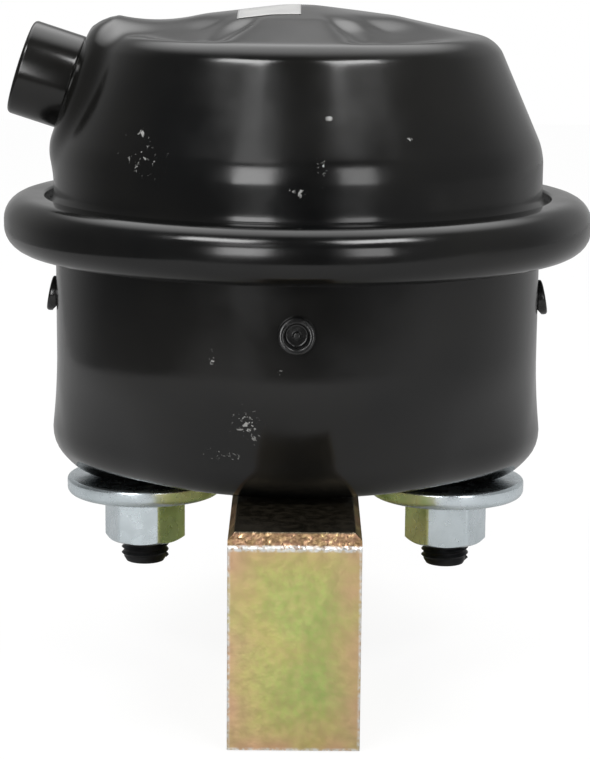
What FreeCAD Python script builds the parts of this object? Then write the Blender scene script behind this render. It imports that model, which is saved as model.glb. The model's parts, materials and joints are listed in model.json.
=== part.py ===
import FreeCAD, Part
import Sketcher
import math
import os
import re

from FreeCAD import Placement, Rotation, Vector

# Air brake chamber, type 12, for two M12 studs 76.2 mm apart.
# Frame: +Z up to the pressure cover, -Y to the front, the air port points to -X.
# The origin is on the chamber's axis, at the underside of the yoke bar. Millimetres and degrees.

SIZES = {
    # Yoke bar on the end of the push rod
    "bar_height": 50,
    "bar_width": 30,
    "bar_reach": 80,
    "bar_gap": 2,
    "bar_end_chamfer": 3,
    "bar_side_chamfer": 1.6,
    "bar_edge_round": 0.8,
    "slot_width": 16,
    "slot_length": 60,
    "slot_roof": 16,
    "lever_pin_radius": 6,
    "lever_pin_height": 15,
    "lock_screw_radius": 2.5,
    "lock_screw_key": 1.25,
    "rod_pin_radius": 2.5,
    "rod_pin_drop": 8,
    # Push rod and push plate
    "rod_radius": 7,
    "rod_end_gap": 1,
    "rivet_radius": 5,
    "plate_gap": 1.6,
    "plate_thickness": 3,
    "plate_skirt": 3,
    # Return spring and its seat
    "wire_radius": 1.75,
    "spring_foot_radius": 29,
    "spring_head_radius": 24,
    "spring_turns": 7,
    "seat_thickness": 1.5,
    "seat_radius": 34,
    # Guide of the push rod
    "guide_radius": 12,
    "guide_flange_radius": 18,
    "guide_flange": 2.5,
    "guide_tower_radius": 11,
    "guide_tower": 12,
    "seal_radius": 9.5,
    "seal_height": 3,
    # Lower housing
    "housing_radius": 59.7,
    "housing_corner": 8.5,
    "sheet": 2.5,
    "clamp_rise": 58.3,
    "flange_gap": 3.6,
    "pad_depth": 6.5,
    "pad_radius": 17,
    "pad_slope": 6,
    # Mounting studs, washers and nuts
    "stud_spacing": 76.2,
    "stud_radius": 6,
    "shank_radius": 5.6,
    "stud_head_radius": 10.5,
    "stud_head": 4,
    "stud_tip": 5.8,
    "stud_chamfer": 1.1,
    "washer_radius": 19.5,
    "washer_hole": 6.5,
    "washer_thickness": 4.5,
    "washer_round": 0.7,
    "nut_across": 18,
    "nut_height": 12,
    # Clamp ring
    "ring_reach": 12.6,
    "ring_sheet": 2.2,
    "ring_round": 5.6,
    "ring_lip": 2.2,
    # Diaphragm
    "bead_height": 4,
    "rubber": 3,
    "cup_gap": 1.3,
    "cup_draft": 10.3,
    "cup_clearance": 0.5,
    "cup_round": 6,
    # Pressure cover
    "cover_step": 0.4,
    "cover_foot_round": 2,
    "cover_wall": 16,
    "shoulder_inset": 11.9,
    "shoulder_rise": 42.7,
    "shoulder_round": 7,
    "crown_radius": 23.5,
    "crown_rise": 5.4,
    "crown_centre_rise": 2.4,
    "crown_centre_radius": 4,
    "crown_round": 30,
    "wall_round": 8,
    "valley_count": 4,
    "valley_turn": 40,
    "valley_radius": 34,
    "valley_inset": 9.4,
    # Air port
    "port_radius": 11.7,
    "port_length": 13.8,
    "port_tilt": 17.7,
    "port_inset": 5.25,
    "port_rise": 31,
    "thread_hole": 7.19,
    "air_way": 5,
    "port_chamfer": 0.8,
    "port_pad_radius": 19,
    "port_pad_depth": 13,
    "port_pad_round": 5,
    # Label
    "label_width": 16.5,
    "label_length": 16,
    "label_start": 1,
    "label_shift": 6.6,
    "label_thickness": 0.2,
    # Vent plugs
    "vent_rise": 39.5,
    "vent_hole": 2.9,
    "vent_stem": 2.8,
    "vent_barb": 3.6,
    "vent_barb_height": 1.4,
    "vent_radius": 4.3,
    "vent_lip_top": 1.1,
    "vent_lip_bottom": 2.7,
    "vent_mouth": 2.8,
    "vent_core": 0.8,
    "vent_web": 0.4,
    "vent_notch": 1.6,
    # Clearances
    "running_fit": 0.07,
    "press_fit": 0.02,
    "free_fit": 0.3,
}

# Radii and heights that several pieces share, each worked out from the sizes
COVER = "(housing_radius + cover_step)"
SHOULDER_EDGE = f"({COVER} - shoulder_inset)"
PORT_FOOT = f"({COVER} - port_inset)"
RING = "(housing_radius + ring_reach)"
FLANGE = f"({RING} - ring_sheet - flange_gap)"
CUP_FOOT = "(housing_radius - sheet - cup_gap)"
CUP = f"({CUP_FOOT} - cup_draft)"
PLATE = f"({CUP} - rubber - plate_gap)"
SLOT_TOP = "(bar_height - slot_roof)"
FLOOR = "(bar_height + bar_gap)"
PAD_FACE = f"({FLOOR} - pad_depth)"
NUT_TOP = f"({PAD_FACE} - washer_thickness)"
NUT_FOOT = f"({NUT_TOP} - nut_height)"
CLAMP = f"({FLOOR} + clamp_rise)"
HOUSING_TOP = f"({CLAMP} - bead_height / 2)"
COVER_BASE = f"({CLAMP} + bead_height / 2)"
SHOULDER = f"({COVER_BASE} + shoulder_rise)"
CROWN = f"({SHOULDER} + crown_rise)"
CUP_TOP = f"({SHOULDER} - sheet - cup_clearance)"
PLATE_TOP = f"({CUP_TOP} - rubber)"
PLATE_FOOT = f"({PLATE_TOP} - plate_thickness)"
SEAT_TOP = f"({FLOOR} + sheet + seat_thickness)"
ROD_FOOT = f"({SLOT_TOP} + rod_end_gap)"
VENT = f"({FLOOR} + vent_rise)"
PORT = f"({COVER_BASE} + port_rise)"

doc = FreeCAD.newDocument("AirBrakeChamber")
sheet = doc.addObject("Spreadsheet::Sheet", "Sizes")
for row, (alias, value) in enumerate(SIZES.items(), start=1):
    sheet.set(f"A{row}", alias)
    sheet.set(f"B{row}", str(value))
    sheet.setAlias(f"B{row}", alias)
doc.recompute()

nodes = []


def bound(text):
    # Every size's name in a formula becomes a reference to its cell.
    return re.sub(r"[a-z_]+", lambda word: f"Sizes.{word[0]}" if word[0] in SIZES else word[0], text)


def number(text):
    return float(sheet.evalExpression(bound(text)))


def bind(target, prop, text):
    target.setExpression(prop, bound(text))


def new_body(name, keep=True):
    body = doc.addObject("PartDesign::Body", name)
    body.Label = name
    if keep:
        nodes.append(body)
    return body


def new_sketch(body, name, role, level="0"):
    plane = next(o for o in body.Origin.OriginFeatures if o.Role == role)
    sketch = body.newObject("Sketcher::SketchObject", name)
    sketch.AttachmentSupport = (plane, [""])
    sketch.MapMode = "FlatFace"
    if level != "0":
        bind(sketch, "AttachmentOffset.Base.z", level)
    return sketch


def place_point(sketch, index, end, x_text, y_text):
    # Ties a point to the sketch's origin, by formulas for both coordinates.
    for axis, line, text in (("DistanceX", -2, x_text), ("DistanceY", -1, y_text)):
        value = number(text)
        if abs(value) < 1e-9:
            sketch.addConstraint(Sketcher.Constraint("PointOnObject", index, end, line))
            continue
        if value > 0:
            made = sketch.addConstraint(Sketcher.Constraint(axis, -1, 1, index, end, value))
            bind(sketch, f"Constraints[{made}]", text)
        else:
            made = sketch.addConstraint(Sketcher.Constraint(axis, index, end, -1, 1, -value))
            bind(sketch, f"Constraints[{made}]", f"-({text})")


def draw_outline(sketch, corners):
    # A closed outline. Each corner is (x, y) or (x, y, radius of its rounding), as formulas.
    spots = [Vector(number(c[0]), number(c[1]), 0) for c in corners]
    count = len(corners)
    arrive, leave = [], []
    for i in range(count):
        before = (spots[i - 1] - spots[i]).normalize()
        after = (spots[(i + 1) % count] - spots[i]).normalize()
        reach = 0
        if len(corners[i]) > 2:
            reach = number(corners[i][2]) / math.tan(before.getAngle(after) / 2)
        arrive.append(spots[i] + before * reach)
        leave.append(spots[i] + after * reach)
    lines = [
        sketch.addGeometry(Part.LineSegment(leave[i], arrive[(i + 1) % count]), False)
        for i in range(count)
    ]
    for i in range(count):
        before, after = lines[i - 1], lines[i]
        if len(corners[i]) < 3:
            sketch.addConstraint(Sketcher.Constraint("Coincident", before, 2, after, 1))
            place_point(sketch, after, 1, corners[i][0], corners[i][1])
            continue
        radius = number(corners[i][2])
        inward = ((arrive[i] + leave[i]) * 0.5 - spots[i]).normalize()
        centre_reach = math.sqrt(radius**2 + (arrive[i] - spots[i]).Length ** 2)
        middle = spots[i] + inward * (centre_reach - radius)
        arc = sketch.addGeometry(Part.Arc(arrive[i], middle, leave[i]), False)
        first = 1 if (sketch.getPoint(arc, 1) - arrive[i]).Length < 1e-6 else 2
        sketch.addConstraint(Sketcher.Constraint("Tangent", before, 2, arc, first))
        sketch.addConstraint(Sketcher.Constraint("Tangent", after, 1, arc, 3 - first))
        made = sketch.addConstraint(Sketcher.Constraint("Radius", arc, radius))
        bind(sketch, f"Constraints[{made}]", corners[i][2])
        point = sketch.addGeometry(Part.Point(spots[i]), True)
        sketch.addConstraint(Sketcher.Constraint("PointOnObject", point, 1, before))
        sketch.addConstraint(Sketcher.Constraint("PointOnObject", point, 1, after))
        place_point(sketch, point, 1, corners[i][0], corners[i][1])


def draw_circle(sketch, x_text, y_text, radius_text):
    centre = Vector(number(x_text), number(y_text), 0)
    circle = sketch.addGeometry(Part.Circle(centre, Vector(0, 0, 1), number(radius_text)), False)
    made = sketch.addConstraint(Sketcher.Constraint("Radius", circle, number(radius_text)))
    bind(sketch, f"Constraints[{made}]", radius_text)
    place_point(sketch, circle, 3, x_text, y_text)


def draw_hexagon(sketch, across_text):
    # A hexagon about the origin, with flats to the front and back.
    corners = [
        (f"{across_text} / 2 / cos(30 deg) * cos({60 * k} deg)",
         f"{across_text} / 2 / cos(30 deg) * sin({60 * k} deg)")
        for k in range(6)
    ]
    draw_outline(sketch, corners)


def revolve(body, sketch, name):
    turned = body.newObject("PartDesign::Revolution", name)
    turned.Profile = sketch
    turned.ReferenceAxis = (sketch, ["V_Axis"])
    turned.Angle = 360
    return turned


def pad(body, sketch, name, length, symmetric=False, back=False):
    made = body.newObject("PartDesign::Pad", name)
    made.Profile = sketch
    made.Midplane = symmetric
    made.Reversed = back
    bind(made, "Length", length)
    return made


def pocket(body, sketch, name, length, symmetric=False, back=False):
    made = body.newObject("PartDesign::Pocket", name)
    made.Profile = sketch
    made.Midplane = symmetric
    made.Reversed = back
    bind(made, "Length", length)
    return made


def turned_body(name, corners, keep=True):
    body = new_body(name, keep)
    sketch = new_sketch(body, f"{name}_section", "XZ_Plane")
    draw_outline(sketch, corners)
    revolve(body, sketch, f"{name}_turned")
    return body


def hollow_out(body, base, level_text):
    # Turns a solid of revolution into a sheet shell, open at the flat face of the given height.
    doc.recompute()
    level = number(level_text)
    face = next(
        i
        for i, f in enumerate(base.Shape.Faces, start=1)
        if abs(f.BoundBox.ZMin - level) < 1e-6 and abs(f.BoundBox.ZMax - level) < 1e-6
    )
    shell = body.newObject("PartDesign::Thickness", f"{body.Name}_shell")
    shell.Base = (base, [f"Face{face}"])
    shell.Reversed = True
    bind(shell, "Value", "sheet")
    return shell


def round_edges(body, base, name, radius, wanted):
    doc.recompute()
    chosen = [f"Edge{i}" for i, e in enumerate(base.Shape.Edges, start=1) if wanted(e)]
    made = body.newObject("PartDesign::Fillet", name)
    made.Base = (base, chosen)
    bind(made, "Radius", radius)
    return made


# Pressure side


def cover_corners():
    return [
        ("0", COVER_BASE),
        (COVER, COVER_BASE),
        (COVER, f"{COVER_BASE} + cover_wall", "wall_round"),
        (SHOULDER_EDGE, SHOULDER, "shoulder_round"),
        ("crown_radius", CROWN, "crown_round"),
        ("crown_centre_radius", f"{CROWN} + crown_centre_rise"),
        ("0", f"{CROWN} + crown_centre_rise"),
    ]


def aim_along_port(primitive, start_text):
    # Puts a cylinder's or cone's own axis on the port's axis, its foot at a distance from the seat.
    bind(primitive, "Placement.Base.x", f"-{PORT_FOOT} - ({start_text}) * cos(port_tilt * 1 deg)")
    bind(primitive, "Placement.Base.z", f"{PORT} + ({start_text}) * sin(port_tilt * 1 deg)")
    bind(primitive, "Placement.Rotation.Axis.x", "0")
    bind(primitive, "Placement.Rotation.Axis.y", "1")
    bind(primitive, "Placement.Rotation.Axis.z", "0")
    bind(primitive, "Placement.Rotation.Angle", "port_tilt - 90")


def make_pressure_cover():
    block = turned_body("cover_block", cover_corners(), keep=False)
    shell = turned_body("cover_shell", cover_corners(), keep=False)
    hollow_out(shell, shell.Tip, COVER_BASE)
    sketch = new_sketch(shell, "cover_flange_section", "XY_Plane", COVER_BASE)
    draw_circle(sketch, "0", "0", FLANGE)
    draw_circle(sketch, "0", "0", f"{COVER} - sheet")
    flange = pad(shell, sketch, "cover_flange", "sheet")
    level = number(f"{COVER_BASE} + sheet")
    round_edges(
        shell,
        flange,
        "cover_foot",
        "cover_foot_round",
        lambda e: abs(e.BoundBox.ZMin - level) < 1e-6
        and abs(e.BoundBox.ZMax - level) < 1e-6
        and abs(e.BoundBox.XMax - number(COVER)) < 1e-3,
    )

    core = doc.addObject("Part::Cut", "cover_core")
    core.Base = block
    core.Tool = shell

    # Round valleys pressed into the crown, their lowest points level with its shoulder
    count = round(number("valley_count"))
    hollows, floors = [], []
    for index in range(count):
        for name, radius, group in (
            ("valley", "valley_radius", hollows),
            ("valley_floor", "valley_radius + sheet", floors),
        ):
            ball = doc.addObject("Part::Sphere", f"{name}_{index + 1}")
            bind(ball, "Radius", radius)
            reach = f"({SHOULDER_EDGE} - valley_inset)"
            angle = f"(valley_turn + {360 * index / count}) * 1 deg"
            bind(ball, "Placement.Base.x", f"{reach} * cos({angle})")
            bind(ball, "Placement.Base.y", f"{reach} * sin({angle})")
            bind(ball, "Placement.Base.z", f"{SHOULDER} + valley_radius")
            group.append(ball)
    valleys = doc.addObject("Part::MultiFuse", "valleys")
    valleys.Shapes = hollows
    linings = doc.addObject("Part::MultiFuse", "valley_floors")
    linings.Shapes = floors
    lining = doc.addObject("Part::Common", "valley_lining")
    lining.Base = core
    lining.Tool = linings
    lined = doc.addObject("Part::Fuse", "cover_lined")
    lined.Base = shell
    lined.Tool = lining
    pressed = doc.addObject("Part::Cut", "cover_pressed")
    pressed.Base = lined
    pressed.Tool = valleys

    # The round pad that carries the port, and the air way through it
    pad_block = turned_body(
        "port_pad_block",
        [
            ("0", "0"),
            ("port_pad_radius", "0"),
            ("port_pad_radius", "port_pad_depth", "port_pad_round"),
            ("0", "port_pad_depth"),
        ],
        keep=False,
    )
    aim_along_port(pad_block, "-port_pad_depth")
    seat = doc.addObject("Part::Cut", "port_pad")
    seat.Base = pad_block
    seat.Tool = core
    joined = doc.addObject("Part::Fuse", "cover_with_pad")
    joined.Base = pressed
    joined.Tool = seat
    way = doc.addObject("Part::Cylinder", "port_way")
    bind(way, "Radius", "air_way")
    bind(way, "Height", "2 * port_pad_depth")
    aim_along_port(way, "-1.5 * port_pad_depth")
    cover = doc.addObject("Part::Cut", "pressure_cover")
    cover.Base = joined
    cover.Tool = way
    cover.Label = "pressure_cover"
    nodes.append(cover)


def make_port_boss():
    boss = turned_body(
        "port_boss",
        [
            ("thread_hole", "0"),
            ("port_radius - port_chamfer", "0"),
            ("port_radius", "port_chamfer"),
            ("port_radius", "port_length - port_chamfer"),
            ("port_radius - port_chamfer", "port_length"),
            ("thread_hole + port_chamfer", "port_length"),
            ("thread_hole", "port_length - port_chamfer"),
        ],
    )
    aim_along_port(boss, "0")


def make_label():
    # A thin foil on the shallow cone of the crown, cut out of a turned sheet by an upright box.
    top = f"({CROWN} + crown_centre_rise)"
    sheet_body = turned_body(
        "label_foil",
        [
            ("0", top),
            ("crown_centre_radius", top),
            ("crown_radius", CROWN),
            ("crown_radius", f"{CROWN} + label_thickness"),
            ("crown_centre_radius", f"{top} + label_thickness"),
            ("0", f"{top} + label_thickness"),
        ],
        keep=False,
    )
    frame = doc.addObject("Part::Box", "label_frame")
    bind(frame, "Length", "label_width")
    bind(frame, "Width", "label_length")
    bind(frame, "Height", "2 * crown_rise")
    bind(frame, "Placement.Base.x", "-label_width / 2 - label_shift")
    bind(frame, "Placement.Base.y", "-label_length - label_start")
    bind(frame, "Placement.Base.z", f"{CROWN} - crown_rise")
    label = doc.addObject("Part::Common", "label_plate")
    label.Base = sheet_body
    label.Tool = frame
    label.Label = "label_plate"
    nodes.append(label)


def make_clamp_ring():
    # A rolled channel, open inwards, over both flanges and the diaphragm's bead.
    inside = "(bead_height / 2 + sheet)"
    outside = f"({inside} + ring_sheet)"
    turned_body(
        "clamp_ring",
        [
            (f"{COVER} + ring_lip", f"{CLAMP} + {outside}"),
            (RING, f"{CLAMP} + {outside}", "ring_round"),
            (RING, f"{CLAMP} - {outside}", "ring_round"),
            ("housing_radius + free_fit", f"{CLAMP} - {outside}"),
            ("housing_radius + free_fit", f"{CLAMP} - {inside}"),
            (f"{RING} - ring_sheet", f"{CLAMP} - {inside}", "ring_round - ring_sheet"),
            (f"{RING} - ring_sheet", f"{CLAMP} + {inside}", "ring_round - ring_sheet"),
            (f"{COVER} + ring_lip", f"{CLAMP} + {inside}"),
        ],
    )


def make_diaphragm():
    turned_body(
        "diaphragm",
        [
            (FLANGE, HOUSING_TOP),
            (FLANGE, COVER_BASE),
            (CUP_FOOT, COVER_BASE),
            (CUP, CUP_TOP, "cup_round"),
            ("0", CUP_TOP),
            ("0", PLATE_TOP),
            (f"{CUP} - rubber", PLATE_TOP, "cup_round - rubber"),
            (f"{CUP_FOOT} - rubber", HOUSING_TOP),
        ],
    )


# Push rod assembly


def make_push_plate():
    turned_body(
        "push_plate",
        [
            ("rivet_radius", PLATE_FOOT),
            (f"{PLATE} - plate_thickness", PLATE_FOOT),
            (f"{PLATE} - plate_thickness", f"{PLATE_FOOT} - plate_skirt"),
            (PLATE, f"{PLATE_FOOT} - plate_skirt"),
            (PLATE, PLATE_TOP, "plate_thickness - 0.5"),
            ("rivet_radius", PLATE_TOP),
        ],
    )


def make_push_rod():
    rod = turned_body(
        "push_rod",
        [
            ("0", ROD_FOOT),
            ("rod_radius - 1", ROD_FOOT),
            ("rod_radius", f"{ROD_FOOT} + 1"),
            ("rod_radius", PLATE_FOOT),
            ("rivet_radius", PLATE_FOOT),
            ("rivet_radius", f"{PLATE_TOP} - free_fit"),
            ("0", f"{PLATE_TOP} - free_fit"),
        ],
    )
    sketch = new_sketch(rod, "rod_pin_hole", "YZ_Plane")
    draw_circle(sketch, "0", "bar_height - rod_pin_drop", "rod_pin_radius + press_fit")
    pocket(rod, sketch, "rod_pin_way", "3 * rod_radius", symmetric=True)


def make_return_spring():
    # A conical coil of round wire, from the seat up to the push plate. Each half turn is half a
    # ring, tilted so that it meets the next one at the same slope.
    steps = max(2, round(number("2 * spring_turns")))
    foot = f"({SEAT_TOP} + wire_radius + press_fit)"
    climb = f"(({PLATE_FOOT} - {SEAT_TOP} - 2 * (wire_radius + press_fit)) / {steps})"
    taper = f"((spring_foot_radius - spring_head_radius) / {steps})"
    rings = []
    for step in range(steps):
        span = f"(2 * spring_foot_radius - {taper} * {2 * step + 1})"
        tilt = f"atan({climb} / {span})"
        side = 1 if step % 2 == 0 else -1
        ring = doc.addObject("Part::Torus", f"spring_half_turn_{step + 1}")
        bind(ring, "Radius1", f"hypot({climb}; {span}) / 2")
        bind(ring, "Radius2", "wire_radius")
        ring.Angle3 = 180
        bind(ring, "Placement.Base.x", f"{side} * {taper} / 2")
        bind(ring, "Placement.Base.z", f"{foot} + {climb} * {step + 0.5}")
        if side == 1:
            ring.Placement.Rotation = Rotation(Vector(0, 1, 0), number(tilt))
            bind(ring, "Placement.Rotation.Angle", tilt)
        else:
            bind(ring, "Placement.Rotation.Axis.x", f"-sin({tilt} / 2)")
            bind(ring, "Placement.Rotation.Axis.z", f"cos({tilt} / 2)")
            ring.Placement.Rotation = Rotation(Vector(0, 0, 1), 180)
            bind(ring, "Placement.Rotation.Angle", "180")
        rings.append(ring)
    spring = doc.addObject("Part::MultiFuse", "return_spring")
    spring.Shapes = rings
    nodes.append(spring)


def make_spring_seat():
    turned_body(
        "spring_seat",
        [
            ("guide_radius + press_fit", f"{FLOOR} + sheet"),
            ("seat_radius", f"{FLOOR} + sheet"),
            ("seat_radius", SEAT_TOP),
            ("guide_radius + press_fit", SEAT_TOP),
        ],
    )


def make_rod_guide():
    foot = f"({FLOOR} - bar_gap / 4)"
    turned_body(
        "rod_guide",
        [
            ("seal_radius", foot),
            ("guide_radius", foot),
            ("guide_radius", SEAT_TOP),
            ("guide_flange_radius", SEAT_TOP),
            ("guide_flange_radius", f"{SEAT_TOP} + guide_flange", "1"),
            ("guide_tower_radius", f"{SEAT_TOP} + guide_flange", "1"),
            ("guide_tower_radius", f"{SEAT_TOP} + guide_tower"),
            ("rod_radius + running_fit", f"{SEAT_TOP} + guide_tower"),
            ("rod_radius + running_fit", f"{foot} + seal_height"),
            ("seal_radius", f"{foot} + seal_height"),
        ],
    )
    turned_body(
        "dust_seal",
        [
            ("rod_radius + running_fit", f"{foot} + seal_height / 2"),
            ("seal_radius - seal_height / 2", foot),
            ("seal_radius - press_fit", foot),
            ("seal_radius - press_fit", f"{foot} + seal_height"),
            ("rod_radius + running_fit", f"{foot} + seal_height"),
        ],
    )


# Yoke bar


def make_yoke_bar():
    bar = new_body("yoke_bar")
    sketch = new_sketch(bar, "bar_section", "XZ_Plane")
    half = "bar_width / 2"
    draw_outline(
        sketch,
        [
            (f"-{half}", "0"),
            (half, "0"),
            (half, "bar_height - bar_side_chamfer"),
            (f"{half} - bar_side_chamfer", "bar_height"),
            (f"bar_side_chamfer - {half}", "bar_height"),
            (f"-{half}", "bar_height - bar_side_chamfer"),
        ],
    )
    block = pad(bar, sketch, "bar_block", "2 * bar_reach", symmetric=True)
    corner = number("bar_reach")
    round_edges(
        bar,
        block,
        "bar_end_edges",
        "bar_edge_round",
        lambda e: abs(e.Vertexes[0].Z - e.Vertexes[-1].Z) > number("bar_height") / 2
        and abs(abs(e.Vertexes[0].Y) - corner) < 1e-6,
    )

    sketch = new_sketch(bar, "bar_end_section", "YZ_Plane")
    for side in ("", "-"):
        draw_outline(
            sketch,
            [
                (f"{side}(bar_reach - bar_end_chamfer)", "bar_height"),
                (f"{side}(bar_reach + bar_end_chamfer)", "bar_height + bar_end_chamfer"),
                (f"{side}(bar_reach + bar_end_chamfer)", "bar_height - 2 * bar_end_chamfer"),
                (f"{side}bar_reach", "bar_height - bar_end_chamfer"),
            ],
        )
    pocket(bar, sketch, "bar_end_chamfers", "2 * bar_width", symmetric=True)

    sketch = new_sketch(bar, "rod_bore", "XY_Plane", "bar_height")
    draw_circle(sketch, "0", "0", "rod_radius + press_fit")
    pocket(bar, sketch, "rod_way", "2 * slot_roof")

    sketch = new_sketch(bar, "slot_section", "XY_Plane")
    draw_outline(
        sketch,
        [
            ("-slot_width / 2", "-slot_length / 2", "slot_width / 4"),
            ("slot_width / 2", "-slot_length / 2", "slot_width / 4"),
            ("slot_width / 2", "slot_length / 2", "slot_width / 4"),
            ("-slot_width / 2", "slot_length / 2", "slot_width / 4"),
        ],
    )
    pocket(bar, sketch, "lever_slot", SLOT_TOP, back=True)

    sketch = new_sketch(bar, "cross_holes", "YZ_Plane")
    draw_circle(sketch, "0", "lever_pin_height", "lever_pin_radius + press_fit")
    draw_circle(sketch, "0", "bar_height - rod_pin_drop", "rod_pin_radius + press_fit")
    pocket(bar, sketch, "cross_ways", "2 * bar_width", symmetric=True)

    sketch = new_sketch(bar, "lock_hole", "XY_Plane")
    draw_circle(sketch, "(bar_width + slot_width) / 4", "0", "lock_screw_radius + press_fit")
    pocket(bar, sketch, "lock_way", "lever_pin_height", back=True)


def make_cross_pin(name, radius, height):
    # A plain pin across the bar, flush with both of its sides.
    pin = doc.addObject("Part::Cylinder", name)
    pin.Label = name
    bind(pin, "Radius", radius)
    bind(pin, "Height", "bar_width - 2 * press_fit")
    bind(pin, "Placement.Base.x", "press_fit - bar_width / 2")
    bind(pin, "Placement.Base.z", height)
    bind(pin, "Placement.Rotation.Axis.x", "0")
    bind(pin, "Placement.Rotation.Axis.y", "1")
    bind(pin, "Placement.Rotation.Axis.z", "0")
    bind(pin, "Placement.Rotation.Angle", "90")
    nodes.append(pin)


def make_lock_screw():
    screw = new_body("lever_pin_screw")
    length = "(lever_pin_height - lever_pin_radius - 2 * free_fit)"
    sketch = new_sketch(screw, "screw_section", "XY_Plane")
    draw_circle(sketch, "0", "0", "lock_screw_radius")
    pad(screw, sketch, "screw_shank", length)
    sketch = new_sketch(screw, "screw_key_section", "XY_Plane")
    draw_hexagon(sketch, "2 * lock_screw_key")
    pocket(screw, sketch, "screw_key", f"{length} / 3", back=True)
    bind(screw, "Placement.Base.x", "(bar_width + slot_width) / 4")
    bind(screw, "Placement.Base.z", "free_fit")


# Lower housing and its fasteners


def make_lower_housing():
    housing = turned_body(
        "lower_housing",
        [
            ("0", FLOOR),
            ("housing_radius", FLOOR, "housing_corner"),
            ("housing_radius", HOUSING_TOP),
            ("0", HOUSING_TOP),
        ],
    )
    hollow_out(housing, housing.Tip, HOUSING_TOP)

    sketch = new_sketch(housing, "housing_flange_section", "XY_Plane", HOUSING_TOP)
    draw_circle(sketch, "0", "0", FLANGE)
    draw_circle(sketch, "0", "0", "housing_radius - sheet")
    pad(housing, sketch, "housing_flange", "sheet", back=True)

    # Pads pressed down round the studs, each with a recess for the stud's head
    half = "stud_spacing / 2"
    sketch = new_sketch(housing, "pad_section", "XY_Plane", PAD_FACE)
    for side in ("", "-"):
        draw_circle(sketch, f"{side}{half}", "0", "pad_radius")
    pads = pad(housing, sketch, "stud_pads", "pad_depth + sheet / 2")
    bind(pads, "TaperAngle", "pad_slope")

    sketch = new_sketch(housing, "recess_section", "XY_Plane", f"{PAD_FACE} + sheet")
    for side in ("", "-"):
        draw_circle(sketch, f"{side}{half}", "0", "pad_radius - sheet")
    pocket(housing, sketch, "stud_recesses", "pad_depth + sheet", back=True)

    sketch = new_sketch(housing, "stud_hole_section", "XY_Plane", PAD_FACE)
    for side in ("", "-"):
        draw_circle(sketch, f"{side}{half}", "0", "shank_radius + free_fit / 2")
    draw_circle(sketch, "0", "0", "guide_radius + press_fit")
    pocket(housing, sketch, "floor_holes", "pad_depth + 2 * sheet", back=True)

    for name, role in (("front_vents", "XZ_Plane"), ("side_vents", "YZ_Plane")):
        sketch = new_sketch(housing, f"{name}_section", role)
        draw_circle(sketch, "0", VENT, "vent_hole")
        pocket(housing, sketch, name, "3 * housing_radius", symmetric=True)


def make_stud(name, side):
    # A head inside the housing, a plain shank, and the bare threaded tip below the nut
    stud = turned_body(
        name,
        [
            ("0", f"{NUT_FOOT} - stud_tip"),
            ("stud_radius - stud_chamfer", f"{NUT_FOOT} - stud_tip"),
            ("stud_radius", f"{NUT_FOOT} - stud_tip + stud_chamfer"),
            ("stud_radius", f"{NUT_FOOT} - press_fit"),
            ("shank_radius", f"{NUT_FOOT} - press_fit"),
            ("shank_radius", f"{PAD_FACE} + sheet"),
            ("stud_head_radius", f"{PAD_FACE} + sheet"),
            ("stud_head_radius", f"{PAD_FACE} + sheet + stud_head", "1"),
            ("0", f"{PAD_FACE} + sheet + stud_head"),
        ],
    )
    bind(stud, "Placement.Base.x", f"{side} * stud_spacing / 2")


def make_washer(name, side):
    washer = turned_body(
        name,
        [
            ("washer_hole", NUT_TOP),
            ("washer_radius", NUT_TOP, "washer_round"),
            ("washer_radius", PAD_FACE, "washer_round"),
            ("washer_hole", PAD_FACE),
        ],
    )
    bind(washer, "Placement.Base.x", f"{side} * stud_spacing / 2")


def make_nut(name, side, turn):
    # A hexagon whose corners are turned down to a cone at both ends
    prism = new_body(f"{name}_prism", keep=False)
    sketch = new_sketch(prism, f"{name}_hexagon", "XY_Plane", NUT_FOOT)
    draw_hexagon(sketch, "nut_across")
    draw_circle(sketch, "0", "0", "shank_radius + press_fit")
    pad(prism, sketch, f"{name}_block", "nut_height")
    rim = "nut_across / 2 * 0.98"
    corner = "nut_across / 2 / cos(30 deg)"
    drop = f"({corner} - {rim}) * tan(30 deg)"
    blank = turned_body(
        f"{name}_blank",
        [
            ("0", NUT_FOOT),
            (rim, NUT_FOOT),
            (corner, f"{NUT_FOOT} + {drop}"),
            (corner, f"{NUT_TOP} - {drop}"),
            (rim, NUT_TOP),
            ("0", NUT_TOP),
        ],
        keep=False,
    )
    nut = doc.addObject("Part::Common", name)
    nut.Base = prism
    nut.Tool = blank
    nut.Label = name
    nut.Placement = Placement(Vector(0, 0, 0), Rotation(Vector(0, 0, 1), turn))
    bind(nut, "Placement.Base.x", f"{side} * stud_spacing / 2")
    nodes.append(nut)


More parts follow.
